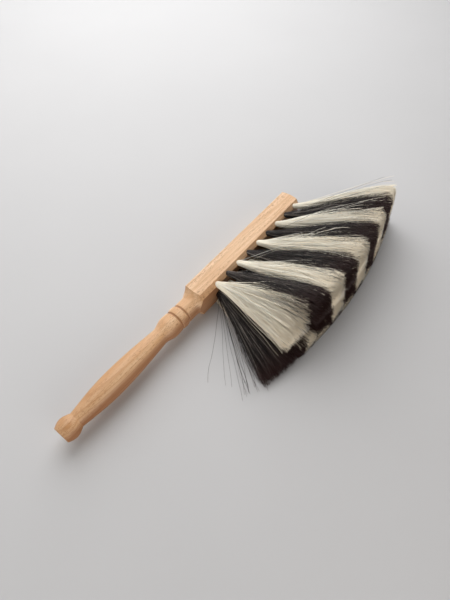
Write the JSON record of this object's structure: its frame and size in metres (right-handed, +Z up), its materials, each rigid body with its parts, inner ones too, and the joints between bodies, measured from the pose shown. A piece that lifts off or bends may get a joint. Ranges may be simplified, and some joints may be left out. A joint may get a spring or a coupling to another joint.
{
  "type": "neck duster brush",
  "caption": "Barber's neck duster: a turned wooden handle and tuft block in one piece, with rows of long fanned hair tufts for sweeping off cut hair.",
  "frame": {"origin": "middle of the block's lower side face, which lies on the table", "axes": "+X from the handle to the block's far end, +Z up, the tufts point along -Y"},
  "size_m": [0.4075, 0.1328, 0.0701],
  "materials": {
    "beech_wood": "satin, bare sanded beech with fine flecks",
    "white_hair": "soft cream hair with a low sheen",
    "dark_hair": "brown-black hair with a low sheen",
    "anchor_wire": "flat drawn wire"
  },
  "bodies": {
    "root": {"wooden_body": "beech_wood", "wire_anchors": "anchor_wire", "tuft_top_1": "white_hair", "tuft_top_2": "dark_hair", "tuft_top_3": "white_hair", "tuft_top_4": "dark_hair", "tuft_top_5": "white_hair", "tuft_top_6": "dark_hair", "tuft_top_7": "white_hair", "tuft_top_8": "dark_hair", "tuft_top_9": "white_hair", "tuft_middle_1": "dark_hair", "tuft_middle_2": "white_hair", "tuft_middle_3": "dark_hair", "tuft_middle_4": "white_hair", "tuft_middle_5": "dark_hair", "tuft_middle_6": "white_hair", "tuft_middle_7": "dark_hair", "tuft_middle_8": "white_hair", "tuft_middle_9": "dark_hair", "tuft_bottom_1": "white_hair", "tuft_bottom_2": "dark_hair", "tuft_bottom_3": "white_hair", "tuft_bottom_4": "dark_hair", "tuft_bottom_5": "white_hair", "tuft_bottom_6": "dark_hair", "tuft_bottom_7": "white_hair", "tuft_bottom_8": "dark_hair", "tuft_bottom_9": "white_hair"}
  },
  "joints": []
}
